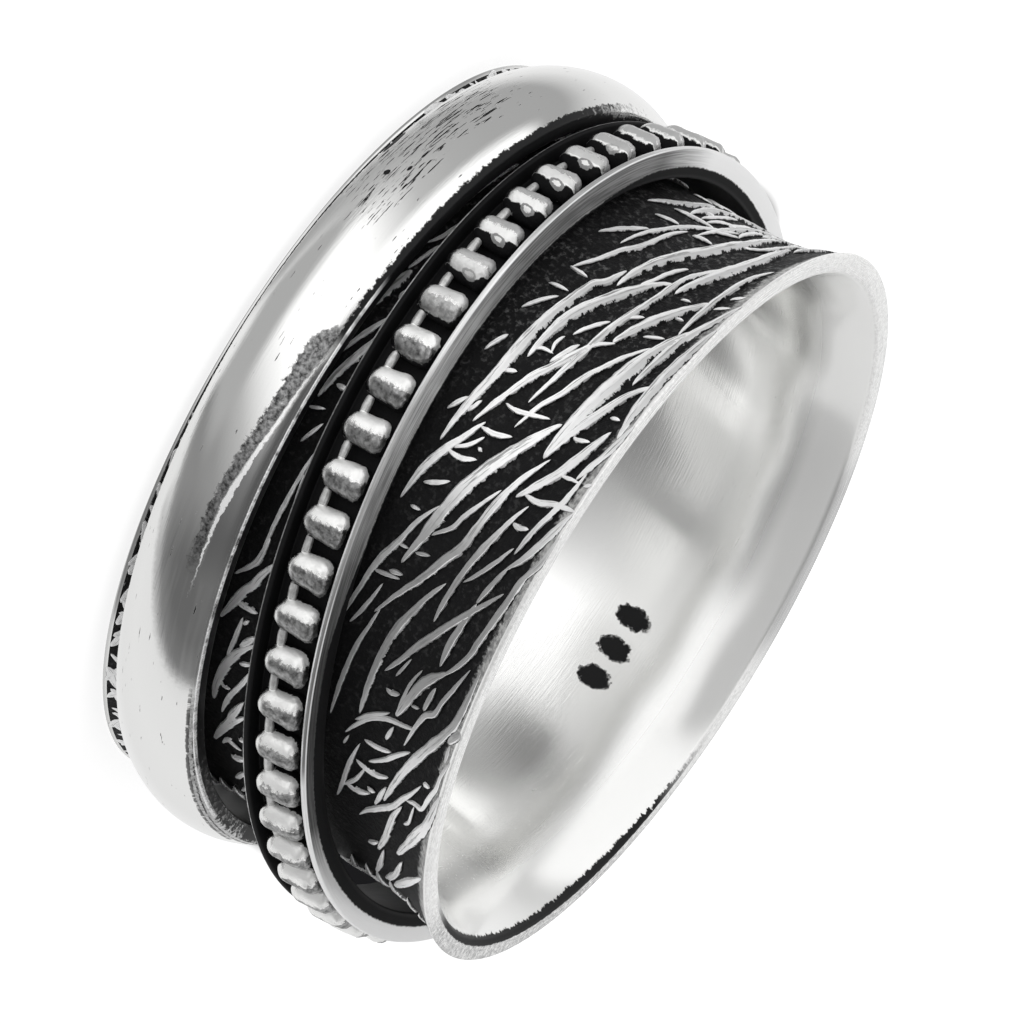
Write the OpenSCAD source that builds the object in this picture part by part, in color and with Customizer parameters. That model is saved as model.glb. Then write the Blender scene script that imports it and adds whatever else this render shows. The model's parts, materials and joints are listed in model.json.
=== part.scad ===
// Spinner ring: a flared silver band with two loose rings that turn on its waist.
// The band stands on its lower rim. Z = 0 is that rim's plane, and Z is the axis of the finger hole.

/* [Band] */
// Inside diameter of the straight middle of the finger hole
bore_d = 18.2; // [15:0.1:22]
// Thickness of the band's sheet
wall = 0.6; // [0.45:0.05:0.9]
// Width of the band, from rim to rim
band_w = 10.2; // [9.8:0.1:13]
// How far each rim flares out, as a radius
flare = 0.8; // [0.7:0.05:1.1]
// How much of the band's width each flare takes
flare_h = 2.5; // [2:0.1:3]

/* [Veins on the band] */
// How far a vein stands up from the band
vein_h = 0.1; // [0.05:0.01:0.14]
// Width of the widest veins at their foot
vein_w = 0.36; // [0.2:0.02:0.5]
// How many times the pattern of veins repeats round the band
vein_repeats = 6; // [4:1:8]

/* [Plain spinner] */
// Width of the plain spinner
dome_w = 2.54; // [2:0.02:2.8]
// Thickness of the plain spinner at its two edges
dome_edge = 0.45; // [0.3:0.05:0.7]
// How much thicker the plain spinner is at its crown
dome_crown = 0.4; // [0.2:0.05:0.7]
// How far the plain spinner leans, in degrees
dome_lean = 4.3; // [0:0.1:5]
// Which way round the band the plain spinner's low side is, in degrees
dome_low_side = 263; // [0:1:359]
// How far the plain spinner's low side stays above the lower rim's plane
dome_lift = 0.3; // [0.2:0.05:0.6]

/* [Beaded spinner] */
// Width of the beaded spinner, over its two rails
gallery_w = 1.96; // [1.6:0.02:2]
// Thickness of the strip that carries the beads
gallery_floor = 0.36; // [0.25:0.01:0.5]
// Thickness of each rail
rail_w = 0.14; // [0.1:0.01:0.2]
// How far each rail stands up from the strip
rail_h = 0.48; // [0.3:0.02:0.7]
// How far the beaded spinner leans, in degrees
gallery_lean = 9.6; // [0:0.1:10]
// Which way round the band the beaded spinner's low side is, in degrees
gallery_low_side = 233; // [0:1:359]
// How far the beaded spinner has slid across its lean
gallery_slide = 0.15; // [0:0.01:0.2]
// Gap between the two spinners where they come closest
spinners_apart = 0.17; // [0.15:0.01:0.4]

/* [Beads] */
// How many beads there are round the strip
bead_count = 54; // [40:1:58]
// Length of a bead, along the finger
bead_l = 1.3; // [1:0.02:1.3]
// Diameter of a bead at its belly
bead_d = 0.88; // [0.7:0.02:1]
// How far a bead stands up from the strip
bead_h = 0.7; // [0.5:0.02:0.8]
// Turn of the first bead, in degrees
bead_turn = 1.9; // [0:0.1:6.6]
// Diameter of the small reel between two beads
reel_d = 0.26; // [0.15:0.01:0.4]
// How far the reels lie to one side of the beads' middle
reel_side = 0.28; // [0:0.02:0.36]

/* [Fit] */
// Gap between the veins and a spinner where the spinner leans closest
spinner_gap = 0.08; // [0.05:0.01:0.15]

/* [Hidden] */
$fn = 96;
bore_r = bore_d / 2;
waist_r = bore_r + wall;
rim_r = waist_r + flare;
// Both sides of the wall flare along an arc of this radius, which meets the straight middle smoothly
flare_arc_r = (flare * flare + flare_h * flare_h) / (2 * flare);
// A cut goes this far past what it cuts
past = 1;
silver = [0.86, 0.86, 0.85];
oxidised_silver = [0.16, 0.16, 0.17];

// The veins' pattern. A row is one vein: where it starts and ends round the repeat, as shares of the
// repeat, and up the band, as shares of its width, how far it bows, as a share of the width, and how
// wide it is, as a share of the widest.
VEINS = [
    // from, to, z_from, z_to, bow, wide
    [0.02, 0.44, 0.95, 0.80, -0.012, 0.80],
    [0.44, 0.86, 0.96, 0.84, -0.010, 1.00],
    [0.20, 0.66, 0.82, 0.68, 0.014, 1.00],
    [0.70, 1.18, 0.80, 0.65, -0.014, 0.95],
    [0.06, 0.50, 0.72, 0.57, 0.010, 0.85],
    [0.52, 0.98, 0.68, 0.53, -0.012, 0.90],
    [0.92, 1.34, 0.62, 0.48, 0.010, 0.80],
    [0.36, 0.76, 0.54, 0.40, -0.010, 0.90],
    [0.78, 1.22, 0.47, 0.32, 0.012, 0.85],
    [0.24, 0.64, 0.40, 0.27, -0.010, 0.90],
    [0.66, 1.06, 0.31, 0.17, 0.012, 0.95],
    [0.10, 0.52, 0.26, 0.12, -0.010, 0.85],
    [0.56, 0.96, 0.16, 0.05, 0.008, 0.80]
];
// Columns of that pattern
FROM = 0;
TO = 1;
Z_FROM = 2;
Z_TO = 3;
BOW = 4;
WIDE = 5;
// How many straight steps a vein has
vein_steps = 7;
// How far a vein's foot lies under the band's skin, as a share of its height
vein_root = 0.5;

// Radius of the band's outside at a height above its lower rim
function skin_r(z) =
    let (from_rim = max(0, min(z, band_w - z)))
    from_rim >= flare_h ? waist_r
    : waist_r + flare_arc_r - sqrt(flare_arc_r * flare_arc_r - pow(flare_h - from_rim, 2));

// Height above the lower rim of a leaning spinner's highest inner edge, or with way = -1 its lowest
function edge_z(mid_z, lean, width, way) = mid_z + way * (rim_r * sin(lean) + width / 2 * cos(lean));

// Inner radius of a spinner that just leans this far on the band, veins and gap included
function spinner_r(mid_z, lean, width) =
    let (upper = skin_r(edge_z(mid_z, lean, width, 1)))
    let (lower = skin_r(edge_z(mid_z, lean, width, -1)))
    ((upper + lower) / 2 + vein_h + spinner_gap + width / 2 * sin(lean)) / cos(lean);

// How far a leaning spinner shifts towards its low side, so that it clears both flares alike
function spinner_shift(mid_z, lean, width) =
    (skin_r(edge_z(mid_z, lean, width, -1)) - skin_r(edge_z(mid_z, lean, width, 1))) / 2;

// Direction of a leaning spinner's own axis
function lean_axis(lean, low_side) = [sin(lean) * cos(low_side), sin(lean) * sin(low_side), cos(lean)];

dome_z = dome_lift + rim_r * sin(dome_lean) + dome_w / 2 * cos(dome_lean);
dome_r = spinner_r(dome_z, dome_lean, dome_w);
// Angle between the two spinners' axes
spread = acos(min(1, lean_axis(dome_lean, dome_low_side) * lean_axis(gallery_lean, gallery_low_side)));
gallery_z = dome_z + (dome_w + gallery_w) / 2 + (rim_r + dome_edge) * sin(spread) + spinners_apart;
gallery_r = spinner_r(gallery_z, gallery_lean, gallery_w);
strip_r = gallery_r + gallery_floor;
bead_centre_r = strip_r + bead_h - bead_d / 2;
bead_pitch = 360 / bead_count;
// A bead's two ends are rounded by this share of its radius
bead_round = bead_d / 2 * 0.8;
// The reels' crowns stand this share of the way up the beads
reel_up = 0.62;

// Outline of the band's wall, on one side of the axis
module band_section() {
    difference() {
        intersection() {
            translate([bore_r - past, 0])
                square([rim_r - bore_r + past, band_w]);
            union() {
                for (z = [flare_h, band_w - flare_h])
                    translate([bore_r + flare_arc_r, z])
                        circle(flare_arc_r);
                translate([bore_r, flare_h])
                    square([wall + flare, band_w - 2 * flare_h]);
            }
        }
        for (z = [flare_h, band_w - flare_h])
            translate([waist_r + flare_arc_r, z])
                circle(flare_arc_r);
        translate([waist_r, flare_h])
            square([flare + past, band_w - 2 * flare_h]);
    }
}

// Point on the band at an angle and a height, a given depth outside its skin
function on_band(angle, z, out) = [(skin_r(z) + out) * cos(angle), (skin_r(z) + out) * sin(angle), z];

// Where a vein is at a share of its length: its angle and height
function vein_at(vein, share) =
    let (turn = 360 / vein_repeats)
    [
        turn * (vein[FROM] + (vein[TO] - vein[FROM]) * share),
        band_w * (vein[Z_FROM] + (vein[Z_TO] - vein[Z_FROM]) * share + vein[BOW] * sin(180 * share))
    ];

// One raised vein: a ridge with a sharp crest that tapers to a point at both ends
module vein(row) {
    turn = 360 / vein_repeats;
    run = waist_r * (row[TO] - row[FROM]) * turn * PI / 180;
    rise = band_w * (row[Z_TO] - row[Z_FROM]);
    // Direction across the vein, as millimetres round the band and up it
    across = [-rise, run] / norm([rise, run]);
    degree_per_mm = 180 / (PI * waist_r);
    inner = [for (i = [1 : vein_steps - 1]) i / vein_steps];
    foot = -vein_root * vein_h;
    tip_a = vein_at(row, 0);
    tip_b = vein_at(row, 1);
    ridge = [
        for (share = inner)
            let (at = vein_at(row, share))
            let (half = vein_w / 2 * row[WIDE] * pow(sin(180 * share), 0.7))
            let (step = across * half)
            each [
                on_band(at[0] - step[0] * degree_per_mm, at[1] - step[1], foot),
                on_band(at[0], at[1], vein_h * pow(sin(180 * share), 0.4)),
                on_band(at[0] + step[0] * degree_per_mm, at[1] + step[1], foot)
            ]
    ];
    last = 3 * len(inner) + 1;
    sides = [
        for (i = [0 : len(inner) - 2])
            for (k = [0 : 2])
                let (a = 1 + 3 * i + k)
                let (b = 1 + 3 * i + (k + 1) % 3)
                each [[a, b, b + 3], [a, b + 3, a + 3]]
    ];
    start = [for (k = [0 : 2]) [0, 1 + (k + 1) % 3, 1 + k]];
    end = [for (k = [0 : 2]) [last, last - 3 + k, last - 3 + (k + 1) % 3]];
    polyhedron(
        points = concat([on_band(tip_a[0], tip_a[1], foot)], ridge, [on_band(tip_b[0], tip_b[1], foot)]),
        faces = concat(start, sides, end)
    );
}

// Band: one sheet, straight in the middle and flared at both rims, with raised veins outside
module base_band() {
    color(oxidised_silver) {
        union() {
            rotate_extrude()
                band_section();
            for (i = [0 : vein_repeats - 1])
                rotate([0, 0, i * 360 / vein_repeats])
                    for (row = VEINS)
                        vein(row);
        }
    }
}

// Puts a spinner on the band: its middle at a height, leaning, shifted to its low side and slid across
module seated(mid_z, lean, width, low_side, slide) {
    rotate([0, 0, low_side])
        translate([spinner_shift(mid_z, lean, width), slide, mid_z])
            rotate([0, lean, 0])
                rotate([0, 0, -low_side])
                    children();
}

// Plain spinner: a half-round ring, flat inside
module plain_spinner() {
    crown_r = dome_r + dome_edge + dome_crown;
    arc_r = (pow(dome_w / 2, 2) + dome_crown * dome_crown) / (2 * dome_crown);
    color(silver)
        seated(dome_z, dome_lean, dome_w, dome_low_side, 0)
            rotate_extrude()
                intersection() {
                    translate([dome_r, -dome_w / 2])
                        square([crown_r - dome_r, dome_w]);
                    translate([crown_r - arc_r, 0])
                        circle(arc_r);
                }
}

// One bead: a round bar with rounded ends that lies along the finger
module bead() {
    rotate_extrude()
        intersection() {
            translate([0, -bead_l / 2])
                square([bead_d / 2, bead_l]);
            union() {
                square([bead_d, bead_l - 2 * bead_round], center = true);
                square([bead_d - 2 * bead_round, bead_l], center = true);
                for (z = [-1, 1])
                    translate([bead_d / 2 - bead_round, z * (bead_l / 2 - bead_round)])
                        circle(bead_round);
            }
        }
}

// Beaded spinner: a strip with two rails, and beads and reels soldered between them
module beaded_spinner() {
    reel_r = strip_r + bead_h * reel_up - reel_d / 2;
    reel_l = 2 * reel_r * sin(bead_pitch / 2);
    color(silver)
        seated(gallery_z, gallery_lean, gallery_w, gallery_low_side, gallery_slide)
            union() {
                rotate_extrude()
                    difference() {
                        translate([gallery_r, -gallery_w / 2])
                            square([gallery_floor + rail_h, gallery_w]);
                        translate([strip_r, -gallery_w / 2 + rail_w])
                            square([rail_h + past, gallery_w - 2 * rail_w]);
                    }
                for (i = [0 : bead_count - 1])
                    rotate([0, 0, bead_turn + i * bead_pitch]) {
                        translate([bead_centre_r, 0, 0])
                            bead();
                        rotate([0, 0, bead_pitch / 2])
                            translate([reel_r, 0, -reel_side])
                                rotate([90, 0, 0])
                                    cylinder(h = reel_l, d = reel_d, center = true);
                    }
            }
}

base_band();
plain_spinner();
beaded_spinner();
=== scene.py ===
# %% [markdown]
# # A spinner ring in oxidised silver
# The real ring is a flared silver band with two loose rings on its waist. One is a plain half-round ring
# and the other a strip with two rails and a row of beads. A jeweller cuts or casts raised veins into the
# band, blackens all of it in liver of sulphur and then rubs the high places bright again.
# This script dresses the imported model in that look. It starts from the frame, so that every piece has the
# size and place that the construction gives it.

# %% Load the frame
import json
import math

import bmesh
import bpy
import numpy as np
from mathutils import Matrix, Vector


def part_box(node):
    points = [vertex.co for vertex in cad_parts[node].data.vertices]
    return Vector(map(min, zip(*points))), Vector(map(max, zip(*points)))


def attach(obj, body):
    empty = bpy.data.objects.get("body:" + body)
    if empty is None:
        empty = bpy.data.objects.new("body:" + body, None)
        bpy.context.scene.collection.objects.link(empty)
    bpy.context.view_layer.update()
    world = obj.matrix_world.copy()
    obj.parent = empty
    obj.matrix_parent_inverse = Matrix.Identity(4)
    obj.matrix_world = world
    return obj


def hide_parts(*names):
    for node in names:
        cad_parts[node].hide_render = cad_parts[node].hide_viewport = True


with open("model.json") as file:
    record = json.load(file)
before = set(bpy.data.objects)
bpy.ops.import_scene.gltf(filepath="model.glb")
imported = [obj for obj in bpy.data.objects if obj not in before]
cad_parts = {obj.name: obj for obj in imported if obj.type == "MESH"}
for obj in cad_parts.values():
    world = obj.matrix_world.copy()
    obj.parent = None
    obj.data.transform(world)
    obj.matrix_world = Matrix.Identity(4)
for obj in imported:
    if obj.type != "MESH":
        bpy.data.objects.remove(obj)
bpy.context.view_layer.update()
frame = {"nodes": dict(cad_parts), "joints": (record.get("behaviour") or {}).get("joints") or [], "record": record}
mm = 0.001

# %% [markdown]
# ## Sizes
# The band's height and rim come from its box, and the finger hole from the bore mount. The two loose rings
# turn about their own leaning axes, which are the hinges of the frame. How big each is round its axis can be
# measured on its mesh, and that is safer than typing the sizes again.

# %% Sizes of the band
band_low, band_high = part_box("base_band")
band_w = band_high.z - band_low.z
rim_r = band_high.x
bore = next(m for m in frame["record"]["mounts"] if m["name"] == "finger_bore")
bore_r = bore["dims"]["r_mm"] * mm
flare_h = (band_w - bore["dims"]["length_mm"] * mm) / 2
wall = 0.6 * mm
waist_r = bore_r + wall
flare = rim_r - waist_r
flare_arc_r = (flare ** 2 + flare_h ** 2) / (2 * flare)
print("band, mm: width", round(band_w / mm, 2), "rim", round(rim_r / mm, 2), "waist", round(waist_r / mm, 2))


# %% Where the two loose rings lie
def ring_on(joint_name, node):
    """Place of a loose ring, and its inner radius, outer radius and half width round its own axis."""
    joint = next(j for j in frame["joints"] if j["name"] == joint_name)
    centre = Vector(joint["pos_m"])
    axis = Vector(joint["axis"]).normalized()
    turn = Vector((0, 0, 1)).rotation_difference(axis)
    out = np.array([v.co - centre for v in frame["nodes"][node].data.vertices])
    along = out @ np.array(axis)
    away = np.linalg.norm(out - along[:, None] * np.array(axis), axis=1)
    place = Matrix.Translation(centre) @ turn.to_matrix().to_4x4()
    return place, away.min(), away.max(), abs(along).max()


plain_place, plain_in, plain_out, plain_half = ring_on("plain_spin", "plain_spinner")
beaded_place, beaded_in, beaded_out, beaded_half = ring_on("beaded_spin", "beaded_spinner")
print("plain ring, mm:", [round(v / mm, 3) for v in (plain_in, plain_out, plain_half)])
print("beaded ring, mm:", [round(v / mm, 3) for v in (beaded_in, beaded_out, beaded_half)])

# %% [markdown]
# ## Camera
# The ring stands on one rim, as it would rest by itself, and the photograph is turned so that its axis runs
# across the picture. The camera keeps the photograph's angle to the ring: it looks down at the side of the
# band from a low height, through a long lens, and is rolled about its own line of sight. A camera can be
# turned with three angles, but three directions put side by side in a matrix are easier to check.

# %% Make the camera
camera_height = math.radians(17.88)
camera_roll = math.radians(120.86)
camera_distance = 252 * mm
camera_aim = Vector((-0.181, 0, 5.364)) * mm
camera_lens = 341.8

back = Vector((0, -math.cos(camera_height), math.sin(camera_height)))
level = Vector((1, 0, 0))
upward = back.cross(level)
camera_x = math.cos(camera_roll) * level + math.sin(camera_roll) * upward
camera_y = -math.sin(camera_roll) * level + math.cos(camera_roll) * upward
camera_data = bpy.data.cameras.new("camera")
camera_data.lens = camera_lens
camera_data.sensor_width = 36
camera_data.clip_start = 10 * mm
camera = bpy.data.objects.new("camera", camera_data)
camera.matrix_world = Matrix.Translation(camera_aim + camera_distance * back) @ Matrix(
    (camera_x, camera_y, back)
).transposed().to_4x4()
bpy.context.scene.collection.objects.link(camera)
bpy.context.scene.camera = camera
print("camera stands at, mm:", [round(v / mm, 1) for v in camera.matrix_world.translation])

# %% [markdown]
# ## Sums between sockets
# Node trees do a lot of arithmetic here, in the surfaces and in the shapes. Laying out Math nodes one by one
# hides the formula, so a small class wraps a socket and turns each Python operator into one Math node.
# Any other node comes from a single method that sets its settings first and then its sockets.


# %% A wrapper for sockets and one for trees
class Wire:
    """One output socket. Sums between wires and numbers add Math nodes to its tree."""

    def __init__(self, tree, socket):
        self.tree = tree
        self.socket = socket

    def __add__(self, other):
        return self.tree.sum("ADD", self, other)

    def __radd__(self, other):
        return self.tree.sum("ADD", other, self)

    def __sub__(self, other):
        return self.tree.sum("SUBTRACT", self, other)

    def __rsub__(self, other):
        return self.tree.sum("SUBTRACT", other, self)

    def __mul__(self, other):
        return self.tree.sum("MULTIPLY", self, other)

    def __rmul__(self, other):
        return self.tree.sum("MULTIPLY", other, self)

    def __truediv__(self, other):
        return self.tree.sum("DIVIDE", self, other)

    def __pow__(self, other):
        return self.tree.sum("POWER", self, other)

    def __abs__(self):
        return self.tree.sum("ABSOLUTE", self)


class Tree:
    """A node tree with one method for every kind of node."""

    def __init__(self, node_tree):
        self.node_tree = node_tree

    def add(self, kind, settings=None, values=None, output=0):
        node = self.node_tree.nodes.new(kind)
        for name, value in (settings or {}).items():
            if name == "stops":
                set_stops(node.color_ramp, value)
            else:
                setattr(node, name, value)
        for key, value in (values or {}).items():
            if isinstance(value, Wire):
                self.node_tree.links.new(value.socket, node.inputs[key])
            else:
                node.inputs[key].default_value = value
        return Wire(self, node.outputs[output]) if len(node.outputs) else node

    def sum(self, operation, *values):
        return self.add("ShaderNodeMath", {"operation": operation}, dict(enumerate(values)))

    def vector_sum(self, operation, *values, output=0):
        settings = {"operation": operation}
        return self.add("ShaderNodeVectorMath", settings, dict(enumerate(values)), output)

    def vector(self, x, y, z):
        return self.add("ShaderNodeCombineXYZ", None, {0: x, 1: y, 2: z})

    def split(self, vector):
        first = self.add("ShaderNodeSeparateXYZ", None, {0: vector})
        return [Wire(self, socket) for socket in first.socket.node.outputs]

    def between(self, value, low, high):
        """0 up to low, 1 from high on, and a smooth step between the two."""
        settings = {"interpolation_type": "SMOOTHSTEP"}
        values = {"Value": value, "From Min": low, "From Max": high}
        return self.add("ShaderNodeMapRange", settings, values)

    def below(self, value, low, high):
        """1 up to low and 0 from high on."""
        return 1 - self.between(value, low, high)

    def from_to(self, value, start, full, fading, end):
        """1 from full to fading, and 0 up to start and from end on."""
        return self.between(value, start, full) * self.below(value, fading, end)

    def most(self, first, *others):
        """The largest of some values."""
        for other in others:
            first = self.sum("MAXIMUM", first, other)
        return first

    def least(self, first, *others):
        """The smallest of some values."""
        for other in others:
            first = self.sum("MINIMUM", first, other)
        return first

    def scaled(self, vector, factor):
        """A vector times a number."""
        node = self.vector_sum("SCALE", vector)
        if isinstance(factor, Wire):
            self.node_tree.links.new(factor.socket, node.socket.node.inputs["Scale"])
        else:
            node.socket.node.inputs["Scale"].default_value = factor
        return node

    def noise(self, vector, scale, detail=2.0, roughness=0.5, seed=0.0):
        values = {"Vector": vector, "W": seed, "Scale": scale, "Detail": detail, "Roughness": roughness}
        return self.add("ShaderNodeTexNoise", {"noise_dimensions": "4D"}, values)

    def mix(self, factor, a, b):
        """Between two colours."""
        values = {"Factor": factor, 6: a, 7: b}
        return self.add("ShaderNodeMix", {"data_type": "RGBA"}, values, output=2)

    def blend(self, factor, a, b):
        """Between two numbers."""
        return a + factor * (b - a)

    def chart(self, share, stops):
        """A number that follows pairs of a place from 0 to 1 and a value."""
        return self.add("ShaderNodeValToRGB", {"stops": stops}, {"Fac": share}) * 1.0


def grey(value):
    """A colour without hue."""
    return (value, value, value, 1)


def set_stops(ramp, stops):
    """A ramp's stops: pairs of a place and a brightness."""
    while len(ramp.elements) > 1:
        ramp.elements.remove(ramp.elements[-1])
    for i, (place, tone) in enumerate(stops):
        element = ramp.elements[0] if i == 0 else ramp.elements.new(place)
        element.position = place
        element.color = grey(tone)


# %% [markdown]
# ## Turned pieces
# The band, the plain ring and the beaded ring's strip are all turned shapes: one outline that goes round an
# axis. A Screw modifier would do, but its seam needs merging and its poles need care. Writing the rows of
# points directly closes the shape by itself, and lets a little unevenness of hand work in on the way.
# Sharp corners don't exist on worn silver, so each corner of an outline is rounded before it is turned.


# %% Outlines and turning
ring_turns = 720


def on_bend(start, corner, end, share):
    """A point of the short curve that rounds a corner."""
    return start * (1 - share) ** 2 + corner * 2 * share * (1 - share) + end * share ** 2


def rounded(corners, radii, steps=5):
    """A closed outline with each corner replaced by a short curve of the given reach."""
    points = []
    for i, (corner, radius) in enumerate(zip(corners, radii)):
        here = Vector(corner)
        before = Vector(corners[i - 1]) - here
        after = Vector(corners[(i + 1) % len(corners)]) - here
        if radius == 0:
            points.append(here)
            continue
        start = here + before.normalized() * min(radius, before.length / 2)
        end = here + after.normalized() * min(radius, after.length / 2)
        points += [on_bend(start, here, end, k / steps) for k in range(steps + 1)]
    return points


def turned(name, outline, turns, place=Matrix(), uneven=None):
    """A mesh of one closed outline of (radius, height) that goes round the axis of a place."""
    r = np.array([p[0] for p in outline])
    z = np.array([p[1] for p in outline])
    angle = np.linspace(0, 2 * math.pi, turns, endpoint=False)[:, None]
    out = r + (uneven(angle, z) if uneven else 0) + 0 * angle
    points = np.stack([out * np.cos(angle), out * np.sin(angle), z + 0 * angle], axis=-1).reshape(-1, 3)
    turn = np.array(place.to_3x3())
    points = points @ turn.T + np.array(place.translation)
    count = len(outline)
    row, column = np.meshgrid(np.arange(turns), np.arange(count), indexing="ij")
    corner = row * count + column
    beside = row * count + (column + 1) % count
    ahead = (row + 1) % turns * count
    faces = np.stack([corner, ahead + column, ahead + (column + 1) % count, beside], axis=-1).reshape(-1, 4)
    mesh = bpy.data.meshes.new(name)
    mesh.from_pydata(points.tolist(), [], faces.tolist())
    return mesh


def finished(name, mesh, *materials):
    """An object at the origin with its normals pointing outwards and smooth shading."""
    work = bmesh.new()
    work.from_mesh(mesh)
    bmesh.ops.recalc_face_normals(work, faces=work.faces)
    work.to_mesh(mesh)
    work.free()
    mesh.shade_smooth()
    if materials:
        mesh.materials.clear()
    for material in materials:
        mesh.materials.append(material)
    piece = bpy.data.objects.new(name, mesh)
    bpy.context.scene.collection.objects.link(piece)
    print(name, "has", sum(len(f.vertices) - 2 for f in mesh.polygons), "triangles")
    return piece


# %% [markdown]
# ## Silver in five finishes
# Bright silver is a metal with a pale, very slightly warm colour, and its looks come from how sharp the
# reflection is and how the surface waves. Three kinds of marks change that: brushing lines that run round
# the ring, small dents, and black left over from the oxidising in every place that the polishing cloth
# can't reach. Images could hold these marks, but they would need unwrapping. Noise that is stretched round
# the ring's own axis gives the same marks at any distance.

# %% Coordinates round a ring
silver_colour = (0.95, 0.95, 0.94, 1)
black_colour = (0.007, 0.007, 0.0075, 1)
per_mm = 1 / mm


def new_material(name):
    material = bpy.data.materials.new(name)
    material.use_nodes = True
    material.node_tree.nodes.clear()
    print("finish:", name)
    return material, Tree(material.node_tree)


class Round:
    """Coordinates in a ring's own place: mm along and out from its axis, and degrees round it."""

    def __init__(self, tree, place=Matrix()):
        here = tree.add("ShaderNodeTexCoord", output="Object")
        moved = tree.add(
            "ShaderNodeMapping",
            {"vector_type": "TEXTURE"},
            {"Vector": here, "Location": place.translation, "Rotation": place.to_euler()},
        )
        self.tree = tree
        self.position = tree.scaled(moved, per_mm)
        self.x, self.y, self.z = tree.split(self.position)
        self.radius = tree.sum("SQRT", self.x * self.x + self.y * self.y)
        self.degrees = tree.sum("WRAP", tree.sum("ARCTAN2", self.y, self.x) * (180 / math.pi), 360.0, 0.0)

    def streaks(self, along, across, detail=3.0, seed=0.0):
        """Noise in streaks that run round the ring: slow along them and quick across."""
        stretched = self.tree.vector(
            self.x / self.radius * along, self.y / self.radius * along, (self.z + self.radius) * across
        )
        return self.tree.noise(stretched, 1.0, detail, 0.6, seed)

    def grain(self, scale, seed, detail=4.0):
        """Noise around 0."""
        return self.tree.noise(self.position, scale, detail, 0.65, seed) - 0.5

    def window(self, first, last, soft=6.0):
        """1 between two angles, 0 outside them."""
        return self.tree.from_to(self.degrees, first, first + soft, last - soft, last)

    def spot(self, degrees, z, half_round, half_up, ragged):
        """1 inside an oval of the surface, with an edge moved by ragged."""
        across = (self.degrees - degrees) * self.radius * (math.pi / 180 / half_round)
        up = (self.z - z) * (1 / half_up)
        return self.tree.below(across * across + up * up + ragged, 0.75, 1.1)

    def round_chart(self, chart):
        """A number that follows pairs of degrees round the ring and a value."""
        stops = [(degrees / 360, value) for degrees, value in chart]
        return self.tree.chart(self.degrees / 360, stops)


def finish_material(tree, sockets, height=None, distance=0.01 * mm):
    """One Principled shader with the sockets given, and a bump if a height is."""
    if height is not None:
        bump = tree.add("ShaderNodeBump", None, {"Strength": 1.0, "Distance": distance, "Height": height})
        sockets = sockets | {"Normal": bump}
    shader = tree.add("ShaderNodeBsdfPrincipled", None, sockets)
    tree.add("ShaderNodeOutputMaterial", None, {"Surface": shader})


# %% Oxidised ground of the band
# It is black, with grey scales where the wheel touched it, and rubbed bright next to both rims. In this
# material and in the next ones heights are in mm and angles in degrees round the axis. Two numbers in a
# row say where a mark begins and where it is at its strongest.
def make_oxidised():
    material, tree = new_material("oxidised_silver")
    ring = Round(tree)
    grain = ring.grain(9.0, 1.0)
    scales = ring.grain(7.0, 2.0, 5.0)
    patch = ring.grain(1.1, 2.5, 2.0)
    # the wheel touched one side of the ring more than the other
    more = 0.25 + tree.below(ring.degrees, 235.0, 262.0) * 0.75
    touched = tree.between(scales, 0.0, 0.14) * (0.2 + tree.between(patch, -0.1, 0.08) * 0.8) * more
    # the bright edge is wider on one stretch of the upper rim, and narrower on the lower rim
    low = tree.below(ring.z, 1.0, 2.0)
    from_rim = tree.least(ring.z, band_w * per_mm - ring.z) + low * 0.14
    from_rim = from_rim - ring.window(200, 350, 14.0) * tree.between(ring.z, 9.0, 9.5) * 0.2
    ragged = from_rim + grain * 0.5 + ring.streaks(60.0, 2.0, 2.0, 3.0) * 0.2
    rubbed_rim = tree.below(ragged, 0.16, 0.34)
    ground = tree.mix(touched, black_colour, grey(0.1))
    ground = tree.mix(tree.between(grain, 0.2, 0.25) * touched, ground, grey(0.5))
    rim_tone = tree.mix(tree.between(scales, -0.1, 0.1), (0.6, 0.6, 0.59, 1), grey(0.3))
    rim_tone = tree.mix(low, rim_tone, grey(0.75))
    sockets = {
        "Base Color": tree.mix(rubbed_rim, ground, rim_tone),
        "Metallic": rubbed_rim * 0.5,
        "Roughness": 0.55 - rubbed_rim * 0.2,
        "Specular IOR Level": 0.15,
    }
    finish_material(tree, sockets, grain + scales * 1.5, 0.04 * mm)
    return material


oxidised = make_oxidised()

# %% Bright inside and lips of the band
# The cloth ran round the inside. Three small struck pits stand where such rings carry a mark, and a black
# line runs along the inner edge of the upper lip on one side.
mark_degrees = (74.2, 80.2, 86.2)
mark_z = 6.9


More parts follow.
